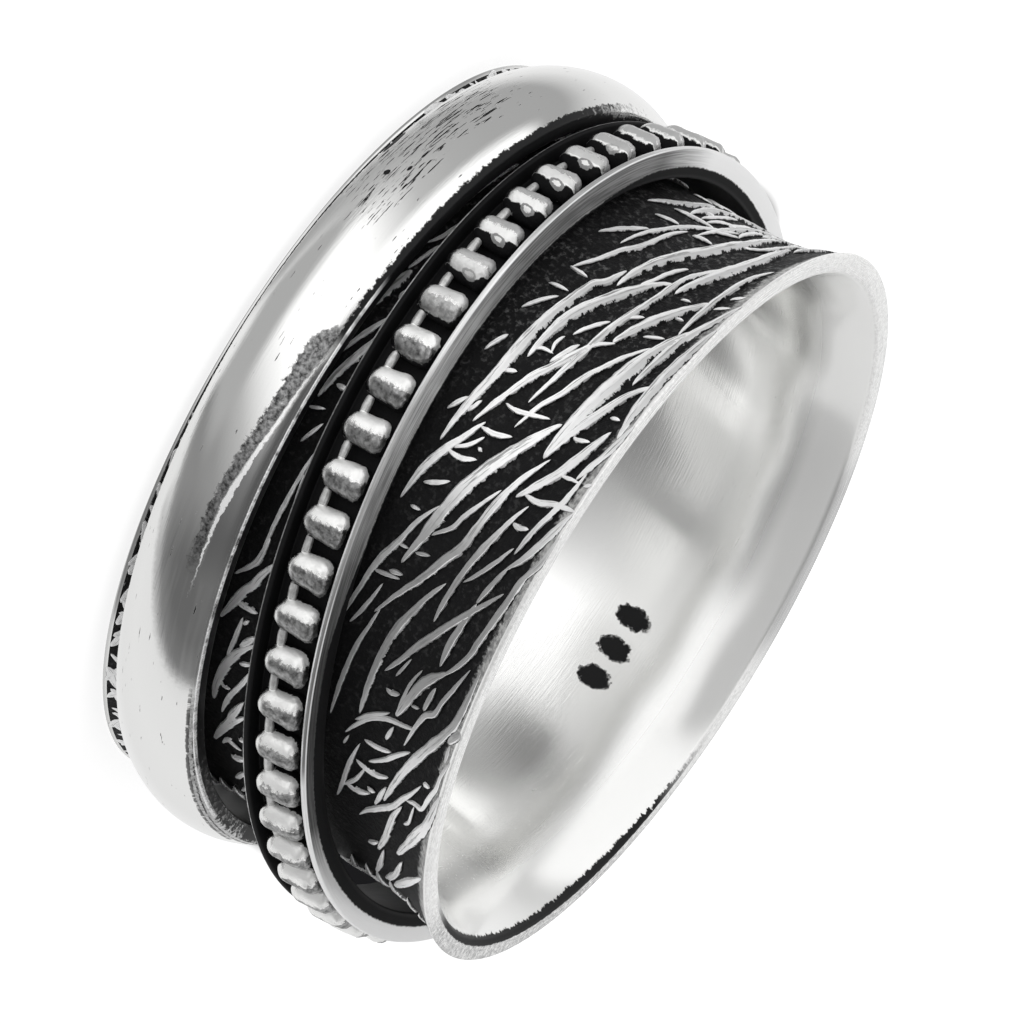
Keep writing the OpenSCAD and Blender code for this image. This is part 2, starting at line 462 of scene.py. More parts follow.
def make_bright():
    material, tree = new_material("bright_silver")
    ring = Round(tree)
    fine = ring.streaks(9.0, 26.0, 3.0, 3.0)
    jag = ring.grain(7.0, 5.0)
    crumbs = ring.grain(12.0, 19.0)
    mark = tree.most(*(ring.spot(degrees, mark_z, 0.32, 0.5, jag * 2.2) for degrees in mark_degrees))
    # the black line is ragged, and thinner towards its ends
    one_side = tree.below(ring.degrees, 62.0, 80.0) + tree.between(ring.degrees, 335.0, 350.0)
    thinner = tree.from_to(ring.degrees, 40.0, 78.0, 300.0, 330.0)
    hairs = ring.streaks(90.0, 0.8, 2.0, 4.0) - 0.5
    edge_z = ring.z + hairs * 0.26 + crumbs * 0.16 - thinner * 0.12
    inner_edge = tree.below(ring.radius + jag * 0.12, 10.0, 10.04)
    line = tree.between(edge_z, 10.02, 10.05) * inner_edge * one_side
    # the upper lip is pitted and dull, most of all along that line
    lip = tree.between(ring.z, 10.1, 10.16)
    by_line = one_side * (1 - thinner)
    pits = tree.between(crumbs + by_line * 0.05, 0.17, 0.2) * (0.1 + lip * 0.9)
    dull = lip * tree.between(crumbs + jag * 0.4, -0.1 - by_line * 0.1, 0.1) * (0.3 + by_line * 0.6)
    # the lower lip is grey, and the far part of the upper one is darkened with painted shade
    low_lip = tree.below(ring.z, 0.05, 0.15) * 0.5
    shaded_far_lip = tree.between(ring.z, 10.0, 10.14) * ring.window(86, 132, 12.0) * 0.7
    dark = tree.most(mark, line, pits * 0.8)
    colour = tree.mix(tree.most(dull, low_lip, shaded_far_lip), silver_colour, grey(0.4))
    # the flare is satin, and so is the low side of the hollow, where the cloth hardly reached
    low_side = tree.below(ring.degrees, 20.0, 36.0) + tree.between(ring.degrees, 320.0, 340.0)
    satin = tree.most(tree.between(ring.z, 8.5, 9.3) * 0.55, low_side * 0.4)
    flare_start = tree.from_to(ring.z, 6.8, 7.6, 8.6, 9.4)
    sockets = {
        "Base Color": tree.mix(dark, colour, black_colour),
        "Metallic": (1 - dark) * (1 - tree.most(satin, lip * 0.6)),
        "Roughness": 0.08 + fine * 0.08 + dark * 0.35 + lip * 0.15 + flare_start * 0.14,
        "Specular IOR Level": 0.2,
    }
    bump = fine * 0.25 * (1 - lip) - mark * 12.0 + crumbs * lip * (0.3 + one_side * 0.7)
    finish_material(tree, sockets, bump, 0.006 * mm)
    return material


bright = make_bright()

# %% [markdown]
# ## The band
# The band is one sheet, straight in the middle and flared at both rims. Its outline follows the same arc as
# the construction: the flare's arc meets the straight middle smoothly. The hollow side isn't true to a
# hundredth of a millimetre on a hand-made ring, and that shows as soft patches in its reflections, so a few
# slow waves are added inside.

# %% The band's outline
lip_round = 0.13 * mm
lip_steps = 5
profile_steps = 56


def skin_r(z):
    """Radius of the band's outside at a height."""
    from_rim = np.clip(np.minimum(z, band_w - z), 0, flare_h)
    return waist_r + flare_arc_r - np.sqrt(flare_arc_r ** 2 - (flare_h - from_rim) ** 2)


def bend(start, corner, end):
    """The points between two ends of a rounded corner."""
    start, corner, end = Vector(start), Vector(corner), Vector(end)
    return [on_bend(start, corner, end, k / (lip_steps + 1)) for k in range(1, lip_steps + 1)]


def band_outline():
    """Up the outside, over the upper lip, down the inside and under the lower lip."""
    heights = np.linspace(lip_round, band_w - lip_round, profile_steps)
    outside = [(skin_r(z), z) for z in heights]
    inside = [(skin_r(z) - wall, z) for z in heights[::-1]]
    inner_rim = rim_r - wall
    outline = outside
    outline = outline + bend(outside[-1], (rim_r, band_w), (rim_r - lip_round, band_w))
    outline = outline + bend((inner_rim + lip_round, band_w), (inner_rim, band_w), inside[0])
    outline = outline + inside
    outline = outline + bend(inside[-1], (inner_rim, 0), (inner_rim + lip_round, 0))
    return outline + bend((rim_r - lip_round, 0), (rim_r, 0), outside[0])


# %% Waves inside the band
inside_wave = 0.028 * mm
wave_count = 16


def slow_waves(angle, z):
    """Unevenness left by the hammer and the mandrel, as a share of its usual depth."""
    rng = np.random.default_rng(7)
    total = 0 * angle * z
    for _ in range(wave_count):
        round_it = rng.integers(4, 18)
        up_it = rng.uniform(0.3, 1.3) / mm
        phase = rng.uniform(0, 2 * math.pi)
        total = total + np.sin(round_it * angle + up_it * z + phase)
    return total / math.sqrt(wave_count / 2)


# %% Turn the band
def make_band():
    outline = band_outline()
    hollow = np.zeros(len(outline))
    first = profile_steps + 2 * lip_steps
    hollow[first:first + profile_steps] = np.sin(np.linspace(0, math.pi, profile_steps)) ** 0.5

    def uneven(angle, z):
        return inside_wave * slow_waves(angle, z) * hollow

    mesh = turned("band_sheet", outline, ring_turns, uneven=uneven)
    piece = finished("band_sheet", mesh, oxidised, bright)
    # the outside is oxidised, and the lips and the inside are bright
    column = np.tile(np.arange(len(outline)), ring_turns)
    mesh.polygons.foreach_set("material_index", (column >= profile_steps - 1).astype(np.int32))
    return piece


band_sheet = make_band()

# %% [markdown]
# ## The raised veins
# The veins are the ring's pattern: long leaf-like strokes that run down across the band, and short dashes
# that stand along the finger. A bump map would look flat at the edges of such deep work, so each vein is a
# real ridge. Drawing on a flared surface is awkward, so the strokes are drawn on a flat strip first, as a
# jeweller draws on paper: across is the angle round the band, and up is the height. Geometry Nodes give each
# stroke its body and ragged upper edge there, and then wrap the strip round the band by formula.
# The strokes are a chart read by eye. The back and the lower half use the same chart turned and lowered.

# %% Chart of the strokes: widest width in mm, then angle in degrees and height in mm along each stroke
STROKES = [
    (.42, 197, 9.12, 208, 9.05, 215, 8.75, 224.3, 8.3),
    (.20, 213, 8.72, 220, 8.2, 228, 8.03, 236, 7.75, 245, 7.55, 253.7, 7.27),
    (.38, 190, 8.35, 200, 8.28, 205, 8.1, 210, 7.9, 215, 7.58, 220, 7.28, 225, 7.1, 228.7, 7.03),
    (.22, 211, 9.78, 215, 9.5, 220, 9.4, 225, 9.33, 232.5, 9.3),
    (.37, 224, 9.28, 228, 8.8, 232, 8.42, 238.4, 8.03),
    (.10, 231.5, 8.2, 233.5, 7.8),
    (.12, 217.5, 8.0, 220, 7.8, 224, 7.62, 226, 7.45),
    (.32, 222.5, 8.05, 225, 7.72, 229, 7.35, 233, 7.02, 237, 6.75, 241, 6.6, 247.6, 6.52),
    (.32, 225, 6.92, 229, 6.78, 231, 6.55, 235, 6.42, 240, 6.28, 245, 6.2, 252, 6.15, 258, 6.0, 265.2, 5.9),
    (.16, 208, 7.03, 212, 6.85, 218, 6.68, 222, 6.4, 226, 6.15, 230, 5.8),
    (.14, 198, 7.75, 201, 7.55, 203.5, 7.25, 208, 6.85, 212, 6.6, 216, 6.35, 220.3, 6.2),
    (.10, 200, 7.9, 202.5, 7.55, 203.5, 7.3),
    (.12, 213.3, 6.35, 217, 5.95, 220.5, 5.55),
    (.12, 190, 7.9, 198, 7.85, 200, 7.9),
    (.12, 190, 7.55, 196, 7.45, 197.5, 7.2, 201.3, 7.0),
    (.12, 190, 7.1, 195, 7.0, 200.8, 6.8),
    (.20, 190, 6.4, 196, 6.3, 201, 6.0, 205.5, 5.55),
    (.15, 190, 9.0, 197, 8.9, 201, 8.75, 203, 8.5, 203.2, 8.2),
    (.30, 223.5, 10.1, 229, 9.8, 234, 9.5, 243.8, 9.27),
    (.45, 231, 9.6, 237, 9.1, 244, 8.85, 250, 8.65, 259.8, 8.45),
    (.35, 230, 10.1, 240, 9.9, 247, 9.85, 252.7, 9.92),
    (.30, 243, 9.78, 246, 9.35, 250, 9.05, 254, 8.75, 259.9, 8.47),
    (.30, 252, 9.65, 256, 9.4, 260, 9.15, 263, 8.85, 266.8, 8.4),
    (.20, 250, 10.12, 255, 9.95, 258, 9.75, 260.5, 9.6),
    (.18, 259, 9.78, 264.5, 9.65, 269, 9.4, 274, 9.2),
    (.16, 276, 9.25, 280, 9.05, 283, 8.9),
    (.22, 265, 10.1, 270, 9.8, 273.5, 9.55, 276.5, 9.2),
    (.22, 268.5, 10.12, 273, 10.05, 276.5, 9.8, 281, 9.7, 287, 9.5, 290, 9.4, 293, 9.15, 295.5, 8.85),
    (.32, 294.3, 9.0, 298, 8.5, 302, 8.25, 305.8, 8.05),
    (.20, 267, 8.85, 270, 8.65, 275, 8.4, 280, 8.2, 285, 8.1, 289, 8.05),
    (.12, 273.3, 9.1, 276.5, 8.85, 279.5, 8.55, 281.5, 8.3),
    (.24, 259.5, 8.65, 264, 8.3, 268, 8.1, 273, 7.95, 277, 7.85, 280, 7.6, 284, 7.3, 288, 6.9, 292.5, 6.5),
    (.12, 267, 7.97, 270.5, 7.7, 273, 7.5, 275.5, 7.35, 278.5, 6.85),
    (.42, 254, 8.35, 256, 8.15, 260, 7.8, 265, 7.4, 270, 7.1, 274, 6.95, 279, 6.8, 283.8, 6.6),
    (.16, 273.5, 6.8, 277, 6.5, 281, 6.3, 285, 6.05, 290, 5.9, 295, 5.78),
    (.17, 236.5, 8.95, 240, 8.55, 243, 8.3, 246, 8.05, 250, 7.85, 253, 7.6, 258, 7.35),
    (.22, 238.3, 8.1, 240.5, 7.7, 243, 7.5, 246.5, 7.25, 250, 6.95, 255, 6.65, 260.4, 6.35),
    (.12, 241.5, 7.4, 246.5, 7.07),
    (.10, 235.3, 7.6, 238, 7.3, 240.6, 7.08),
    (.20, 259.5, 6.65, 263, 6.4, 266, 6.15, 270, 5.92, 275.5, 5.78),
    (.10, 257, 6.25, 259.5, 6.1),
    (.10, 236, 6.1, 239, 5.75, 241, 5.55),
    (.10, 246, 5.75, 250, 5.5),
    (.10, 257.5, 5.9, 260.7, 5.6),
    (.20, 279.5, 9.5, 282, 9.2, 284.5, 8.9, 287.5, 8.55, 290.5, 8.25, 294, 7.9, 297.5, 7.6, 300, 7.35),
    (.22, 283, 8.92, 286, 8.85, 290, 8.75, 294.3, 8.72),
    (.15, 297.5, 8.85, 302, 8.75),
    (.14, 291.5, 9.6, 296, 9.35, 298.5, 9.2, 301, 9.1, 303, 8.8, 309.5, 8.52),
    (.28, 290.5, 9.93, 296, 9.9, 300, 9.8, 304, 9.5, 308, 9.15, 312, 8.85, 316, 8.6, 322.3, 8.3),
    (.25, 300, 10.1, 303, 9.8),
    (.10, 303, 9.9, 306, 9.92),
    (.13, 305, 10.1, 308, 9.95, 311, 9.9, 313.5, 9.75, 316.5, 9.6, 317.2, 9.3, 318.3, 9.0),
    (.14, 313.2, 9.38, 316, 9.15, 318.5, 8.9, 321.5, 8.65, 324, 8.3, 327, 7.85, 329.5, 7.6),
    (.08, 317.8, 9.32, 321.5, 9.25, 323.3, 9.05),
    (.30, 311, 10.12, 318, 9.9, 323, 9.55, 328, 9.2, 332, 8.9),
    (.22, 320.3, 8.9, 324, 8.68, 330, 8.5, 336, 8.2),
    (.12, 319.3, 8.3, 324.5, 8.05),
    (.12, 309.8, 8.75, 312, 8.4, 314.5, 8.05, 316.5, 7.65),
    (.13, 305.8, 8.7, 306.5, 8.3, 307.2, 7.8, 309, 7.35, 311.5, 7.05, 313.7, 6.83),
    (.10, 306, 7.85, 308.3, 7.35, 310.5, 7.0),
    (.10, 307.8, 8.08, 310.7, 7.97),
    (.10, 318.3, 7.6, 321.5, 7.4, 324.5, 7.05),
    (.12, 314.3, 7.3, 318, 7.17, 324, 7.03, 328, 6.9),
    (.22, 283, 7.9, 286, 7.65, 290, 7.4, 294, 7.2, 300, 7.1, 309, 7.08),
    (.12, 291.5, 6.62, 295, 6.52, 299, 6.4, 304, 6.35, 312, 6.3),
    (.09, 288, 6.4, 292, 6.25, 296, 6.0),
    (.08, 296.5, 8.3, 300, 8.12, 305.8, 8.05),
    (.06, 296, 7.9, 299.8, 7.68),
    (.06, 314, 6.95, 316, 6.85),
    (.20, 330, 9.95, 336, 9.4, 342, 8.9, 347, 8.5),
    (.18, 333, 9.1, 340, 8.75, 347, 8.2),
    (.15, 335, 8.4, 341, 8.2, 347, 7.9),
]
DASHES = [
    (.10, 220.8, 9.95, 222, 9.63), (.07, 224.2, 9.88, 225.2, 9.5), (.06, 229.3, 9.1, 229.2, 8.85),
    (.07, 234, 9.08, 235, 8.55), (.06, 224.8, 8.82, 225, 8.55), (.10, 207.6, 7.75, 208.4, 7.2),
    (.10, 207.4, 6.7, 208.4, 6.05), (.12, 202, 7.3, 203, 6.15), (.12, 197, 7.6, 196.8, 7.2),
    (.12, 197.2, 6.95, 197.2, 6.6), (.07, 230.2, 6.3, 230, 5.75), (.07, 234.3, 6.2, 234.8, 5.65),
    (.10, 260.3, 10.12, 260.9, 9.9), (.07, 260.7, 9.75, 260.9, 9.1),
    (.16, 264.6, 10.1, 265, 9.5, 265.9, 9.0, 265.7, 8.5), (.10, 254.6, 9.3, 255.1, 9.0, 254.9, 8.8),
    (.08, 249.9, 9.65, 250, 9.35), (.14, 269.9, 9.2, 270.4, 8.95, 270.2, 8.7),
    (.12, 254.2, 8.0, 255.2, 7.5, 255.7, 7.1, 255.5, 6.8), (.14, 259.4, 7.45, 260.4, 7.05, 260.4, 6.6),
    (.14, 265, 7.0, 266, 6.6, 265.8, 6.2), (.12, 261.5, 6.85, 263.5, 6.65, 265.2, 6.3),
    (.08, 263.6, 7.0, 263.3, 6.85), (.12, 269.7, 6.7, 270.8, 6.45, 271.8, 6.1),
    (.06, 275.6, 6.4, 275.7, 6.1), (.07, 280.7, 7.2, 281.4, 6.8), (.06, 281.4, 6.6, 281.5, 6.3),
    (.10, 250.4, 6.55, 251.3, 6.25), (.10, 245, 7.0, 245.2, 6.7, 246, 6.5),
    (.07, 241.5, 6.95, 243.5, 6.88, 245, 6.95), (.10, 311.9, 9.68, 312.3, 9.42),
    (.10, 312.3, 8.2, 312.9, 7.85, 313, 7.4), (.12, 317.2, 8.3, 318.2, 7.9, 317.6, 7.3),
    (.12, 323, 7.85, 323.8, 7.5, 323.6, 7.1), (.10, 322, 8.0, 321.7, 7.75), (.10, 285.3, 6.78, 285.7, 6.4),
    (.09, 286.1, 6.75, 286.8, 6.05), (.12, 302.2, 7.95, 302.6, 7.75, 302.4, 7.55),
    (.06, 302.2, 8.6, 302.6, 8.35), (.10, 334, 8.2, 336, 7.85),
]

# %% Strokes of the lower half, between the two loose rings
LOWER_STROKES = [
    (.12, 240, 2.45, 238, 2.65, 235, 2.80, 232, 2.90, 228, 2.90),
    (.10, 245, 2.55, 243, 2.65, 239, 2.80),
    (.30, 253, 2.42, 250, 2.48, 248, 2.55, 245, 2.68),
    (.12, 250, 2.85, 248, 2.95),
    (.22, 269, 2.55, 264, 2.70, 261, 2.85, 258, 3.00, 255, 3.10),
    (.13, 262, 2.40, 258, 2.65, 253, 3.00),
    (.13, 266, 2.80, 266, 3.15),
    (.07, 271, 2.45, 270, 2.90),
    (.09, 276, 2.75, 274, 2.90, 272, 3.05),
    (.12, 294, 3.12, 287, 3.15, 279, 3.20, 276, 3.25),
    (.10, 292, 3.55, 286, 3.45, 280, 3.25),
    (.15, 291, 3.18, 294, 3.15, 296, 3.05, 299, 2.65),
    (.26, 294, 3.60, 297, 3.35, 299, 3.25, 301, 3.05, 304, 2.85, 307, 2.66),
    (.15, 303, 2.95, 303, 3.25, 303, 3.60),
    (.13, 305, 3.25, 307, 3.25, 310, 3.20, 313, 3.12),
    (.08, 306, 3.30, 305, 3.45),
    (.28, 308, 3.85, 310, 3.55, 312, 3.35, 314, 3.20, 316, 3.10, 319, 3.00, 323, 2.98),
    (.20, 307, 3.75, 310, 3.40),
    (.09, 313, 3.50, 312, 3.85),
    (.15, 313, 3.90, 316, 3.75, 318, 3.60, 321, 3.40, 325, 3.25),
    (.07, 318, 3.10, 319, 3.20, 319, 3.40),
    (.28, 320, 3.85, 324, 3.60, 326, 3.55, 329, 3.30, 333, 3.05),
    (.15, 323, 3.95, 326, 3.60, 329, 3.35),
    (.15, 335, 3.55, 335, 3.75, 334, 4.00),
    (.13, 343, 3.55, 338, 4.00),
    (.09, 329, 3.80, 329, 4.00),
    (.08, 349, 3.55, 345, 3.85),
    (.11, 333, 3.30, 331, 3.50, 332, 3.90),
    (.20, 195, 3.60, 202, 3.45, 210, 3.10, 220, 2.80),
    (.14, 205, 3.90, 212, 3.60, 222, 3.40, 230, 3.30),
    (.10, 216, 2.60, 224, 2.50, 232, 2.45),
]

# %% Lay the charts on the flat strip
# the chart of the upper half repeats after chart_span degrees, and the lower half has its own chart in front
chart_start = 190
chart_span = 157
front_end = 350
front_span = front_end - chart_start
half_step = 5.1


def chart_copy(turn, drop, last):
    """The chart turned and lowered, up to an angle of the chart."""
    copy = []
    for width, *numbers in STROKES + DASHES:
        angles, heights = numbers[::2], numbers[1::2]
        if chart_start <= sum(angles) / len(angles) < last:
            points = [(angle + turn, height - drop) for angle, height in zip(angles, heights)]
            copy.append((width, points))
    return copy


def rim_ticks():
    """Short strokes across the flare of the lower rim, drawn from a fixed seed."""
    rng = np.random.default_rng(21)
    count = 170
    ticks = []
    for i in range(count):
        angle = 360 * (i + rng.uniform(-0.4, 0.4)) / count
        low = rng.uniform(0.1, 0.22)
        high = low + rng.uniform(0.35, 0.9)
        lean = rng.uniform(2.0, 6.5) * rng.choice((-1, 1))
        bulge = rng.uniform(-1.5, 1.5)
        points = [(angle, low), (angle + lean / 2 + bulge, (low + high) / 2), (angle + lean, high)]
        ticks.append((rng.uniform(0.12, 0.3), points))
    return ticks


upper = chart_copy(0, 0, front_end)
upper += chart_copy(chart_span, 0, front_end)
upper += chart_copy(2 * chart_span, 0, chart_start + 360 - 2 * chart_span)
lower = [(width, list(zip(numbers[::2], numbers[1::2]))) for width, *numbers in LOWER_STROKES]
lower += chart_copy(front_span, half_step, front_end)
lower += chart_copy(front_span + chart_span, half_step, chart_start + 360 - front_span - chart_span)
lower += rim_ticks()
print(len(upper), "strokes above and", len(lower), "below")

# %% Make strips out of the charts
# The rubbing wheel spreads each stroke a little past the width that was drawn.
spread = 0.035
strip_margin = 0.04 * mm


def strip_mesh(name, strokes):
    """The strokes as a mesh of edges on the flat strip that carries the half width of each."""
    points, edges, widths = [], [], []
    for width, places in strokes:
        start = len(points)
        for angle, height in places:
            up = min(max(height * mm, strip_margin), band_w - strip_margin)
            points.append((math.radians(angle) * waist_r, up, 0))
            widths.append((width + spread) / 2 * mm)
        edges += [(i, i + 1) for i in range(start, len(points) - 1)]
    mesh = bpy.data.meshes.new(name)
    mesh.from_pydata(points, edges, [])
    mesh.attributes.new("half_width", "FLOAT", "POINT").data.foreach_set("value", widths)
    return mesh


# %% A helper that runs one Geometry Nodes tree on a mesh
SOCKET_KINDS = {float: "NodeSocketFloat", int: "NodeSocketInt", Vector: "NodeSocketVector"}


def grown(name, mesh, inputs, build, material):
    """The mesh that a tree makes out of a host mesh. inputs are the tree's named numbers."""
    group = bpy.data.node_groups.new(name, "GeometryNodeTree")
    group.interface.new_socket(name="Geometry", in_out="INPUT", socket_type="NodeSocketGeometry")
    sockets = {}
    for label, value in inputs.items():
        sockets[label] = group.interface.new_socket(
            name=label, in_out="INPUT", socket_type=SOCKET_KINDS[type(value)]
        )
    group.interface.new_socket(name="Geometry", in_out="OUTPUT", socket_type="NodeSocketGeometry")
    tree = Tree(group)
    start = tree.add("NodeGroupInput")
    given = {s.name: Wire(tree, s) for s in start.socket.node.outputs if s.name}
    shape = build(tree, given["Geometry"], given)
    real = tree.add("GeometryNodeRealizeInstances", None, {"Geometry": shape})
    coated = tree.add("GeometryNodeSetMaterial", None, {"Geometry": real, "Material": material})
    tree.add("NodeGroupOutput", None, {"Geometry": coated})
    host = bpy.data.objects.new(name, mesh)
    bpy.context.scene.collection.objects.link(host)
    modifier = host.modifiers.new(name, "NODES")
    modifier.node_group = group
    for label, value in inputs.items():
        modifier[sockets[label].identifier] = value
    depsgraph = bpy.context.evaluated_depsgraph_get()
    result = bpy.data.meshes.new_from_object(host.evaluated_get(depsgraph))
    host.modifiers.remove(modifier)
    bpy.data.objects.remove(host)
    result.name = name
    return result


# %% Values that stay with the points of a shape
def store(tree, geometry, name, kind, value):
    """The geometry with a named value on each point."""
    settings = {"data_type": kind, "domain": "POINT"}
    values = {"Geometry": geometry, "Name": name, "Value": value}
    return tree.add("GeometryNodeStoreNamedAttribute", settings, values)


def stored(tree, name, kind="FLOAT"):
    """The named value of each point."""
    return tree.add("GeometryNodeInputNamedAttribute", {"data_type": kind}, {"Name": name})


# %% The tree that makes veins: a body along each line
vein_sides = 8
thinnest = 0.004 * mm


def flat_veins(tree, lines, given):
    """Bodies on the flat strip, thick in the middle and pointed at the ends, that know their line."""
    curve = tree.add("GeometryNodeMeshToCurve", None, {"Mesh": lines})
    curve = tree.add("GeometryNodeCurveSplineType", {"spline_type": "CATMULL_ROM"}, {"Curve": curve})
    values = {"Curve": curve, "Length": given["Step"]}
    curve = tree.add("GeometryNodeResampleCurve", {"mode": "LENGTH"}, values)
    place = tree.add("GeometryNodeInputPosition")
    share = tree.add("GeometryNodeSplineParameter")
    length = tree.add("GeometryNodeSplineParameter", output=1)
    taper = tree.sum("SINE", share * math.pi) ** 0.5
    swell = tree.noise(place, 1.4 / mm, 2.0, 0.5, given["Seed"]) * 0.9 + 0.55
    reach = stored(tree, "half_width") * taper * swell + thinnest
    # across points up the band, whichever way a stroke was drawn
    tx, ty, _ = tree.split(tree.add("GeometryNodeInputTangent"))
    facing = tree.sum("SIGN", tx + 1e-6)
    across = tree.vector(0 - ty * facing, tx * facing, 0.0)
    for name, kind, value in (
        ("reach", "FLOAT", reach),
        ("middle", "FLOAT_VECTOR", place),
        ("across", "FLOAT_VECTOR", across),
        ("along", "FLOAT", length * per_mm),
    ):
        curve = store(tree, curve, name, kind, value)
    curve = tree.add("GeometryNodeSetCurveNormal", {"mode": "Z_UP"}, {"Curve": curve})
    values = {"Resolution": vein_sides, "Radius": 1.0}
    section = tree.add("GeometryNodeCurvePrimitiveCircle", {"mode": "RADIUS"}, values)
    values = {"Curve": curve, "Profile Curve": section, "Scale": reach, "Fill Caps": True}
    return tree.add("GeometryNodeCurveToMesh", None, values)


# %% The tree that makes veins: ragged edges, and the way round the band
vein_margin = 0.06 * mm


def build_veins(tree, lines, given):
    """Veins with a ragged upper edge, wrapped round the band."""
    body = flat_veins(tree, lines, given)
    place = tree.add("GeometryNodeInputPosition")
    reach = stored(tree, "reach")
    across = stored(tree, "across", "FLOAT_VECTOR")
    out = tree.vector_sum("SUBTRACT", place, stored(tree, "middle", "FLOAT_VECTOR"))
    side = tree.vector_sum("DOT_PRODUCT", out, across, output="Value") / reach
    body = store(tree, body, "side", "FLOAT", side)
    _, _, up = tree.split(out)
    up = tree.least(tree.most(up / reach * 1.35, -0.6), 1.0)
    stout = tree.least(reach / (0.08 * mm), 1.0)
    # teeth stand on the upper edge, most of all on one side of the ring, and all edges wander
    x, _, _ = tree.split(place)
    teeth = tree.noise(place, 7.0 / mm, 3.0, 0.7, given["Seed"]) - 0.5
    wander = tree.noise(place, 2.5 / mm, 2.0, 0.5, given["Seed"]) - 0.5
    turned_away = (tree.sum("COSINE", x / given["Waist radius"] - 3.6) + 1) / 2
    spiky = 0.2 + turned_away * turned_away * 0.8
    shove = (teeth * tree.between(side, 0.1, 0.9) * spiky * 3.4 + wander) * given["Ragged"] * stout
    x, y, _ = tree.split(tree.vector_sum("ADD", place, tree.scaled(across, shove)))
    y = tree.most(tree.least(y, given["Band width"] - vein_margin), vein_margin)
    # a vein is lower where it is narrow, and runs out flat towards the rims
    from_rim = tree.least(y, given["Band width"] - y)
    lift = up * given["Height"] * (0.35 + stout * 0.65) * (0.95 + teeth * 0.5)
    lift = lift * (0.08 + tree.between(from_rim, 0.1 * mm, 0.8 * mm) * 0.92)
    into_flare = tree.most(given["Flare width"] - from_rim, 0.0)
    arc = tree.sum("SQRT", given["Flare arc"] ** 2.0 - into_flare * into_flare)
    radius = given["Waist radius"] + given["Flare arc"] - arc + lift
    angle = x / given["Waist radius"]
    wrapped = tree.vector(radius * tree.sum("COSINE", angle), radius * tree.sum("SINE", angle), y)
    return tree.add("GeometryNodeSetPosition", None, {"Geometry": body, "Position": wrapped})


# %% Material of the veins
# Their tops are rubbed nearly white, with grey lines left along them. Their foot stays black, and the edge
# that the tool left ragged has small black notches.
def make_vein_silver():
    material, tree = new_material("rubbed_silver")
    ring = Round(tree)
    side, along, reach = (
        tree.add("ShaderNodeAttribute", {"attribute_name": name}, output="Fac")
        for name in ("side", "along", "reach")
    )
    grain = ring.grain(8.0, 6.0)
    stout = tree.between(reach * per_mm, 0.06, 0.12)
    comb = tree.noise(tree.vector(along * 4.5, side * 0.8, ring.z), 1.0, 4.0, 0.75, 9.0) - 0.5
    lines = tree.noise(tree.vector(along * 0.9, side * 2.6, ring.z), 1.0, 3.0, 0.65, 10.0)
    turned_off = tree.below(ring.degrees, 238.0, 260.0)
    notch = tree.between(side + comb * stout * (1.3 + turned_off * 0.8), 0.78, 0.88)
    foot = tree.between(abs(side) + grain * 0.25, 0.9, 0.98)
    dark = tree.most(foot, notch)
    dull = tree.between(lines, 0.5, 0.62) * tree.from_to(side, -0.75, -0.55, 0.0, 0.35)
    # painted shade on one stretch of the ring, where the edge of each vein stays white as a painted highlight
    edge = tree.between(side, 0.45, 0.55) * tree.between(lines, 0.42, 0.48)
    painted_shade = ring.window(264, 314, 16.0) * tree.between(ring.z, 5.0, 7.2) * (1 - edge)
    # painted shade on the upper half of each vein, on one side of the ring
    upper_flank = tree.between(side, -0.3, 0.2) * turned_off * stout
    colour = tree.mix(painted_shade * 0.8, grey(0.98), grey(0.26))
    colour = tree.mix(upper_flank * 0.6, colour, grey(0.45))
    colour = tree.mix(dull * stout * 0.85, colour, grey(0.25))
    sockets = {
        "Base Color": tree.mix(dark, colour, black_colour),
        "Metallic": 0.5 - dark * 0.5,
        "Roughness": 0.4 + grain * 0.2,
        "Specular IOR Level": 0.2,
    }
    finish_material(tree, sockets, grain + lines, 0.008 * mm)
    return material


rubbed = make_vein_silver()

# %% Make the veins
vein_inputs = {
    "Waist radius": waist_r,
    "Band width": band_w,
    "Flare width": flare_h,
    "Flare arc": flare_arc_r,
    "Height": 0.1 * mm,
    "Step": 0.05 * mm,
    "Ragged": 0.045 * mm,
    "Seed": 11.0,
}
crease = math.radians(32)
veins = []
for half, strokes in (("upper", upper), ("lower", lower)):
    mesh = grown("veins_" + half, strip_mesh("strip_" + half, strokes), vein_inputs, build_veins, rubbed)
    piece = finished("veins_" + half, mesh)
    piece.data.set_sharp_from_angle(angle=crease)
    veins.append(piece)
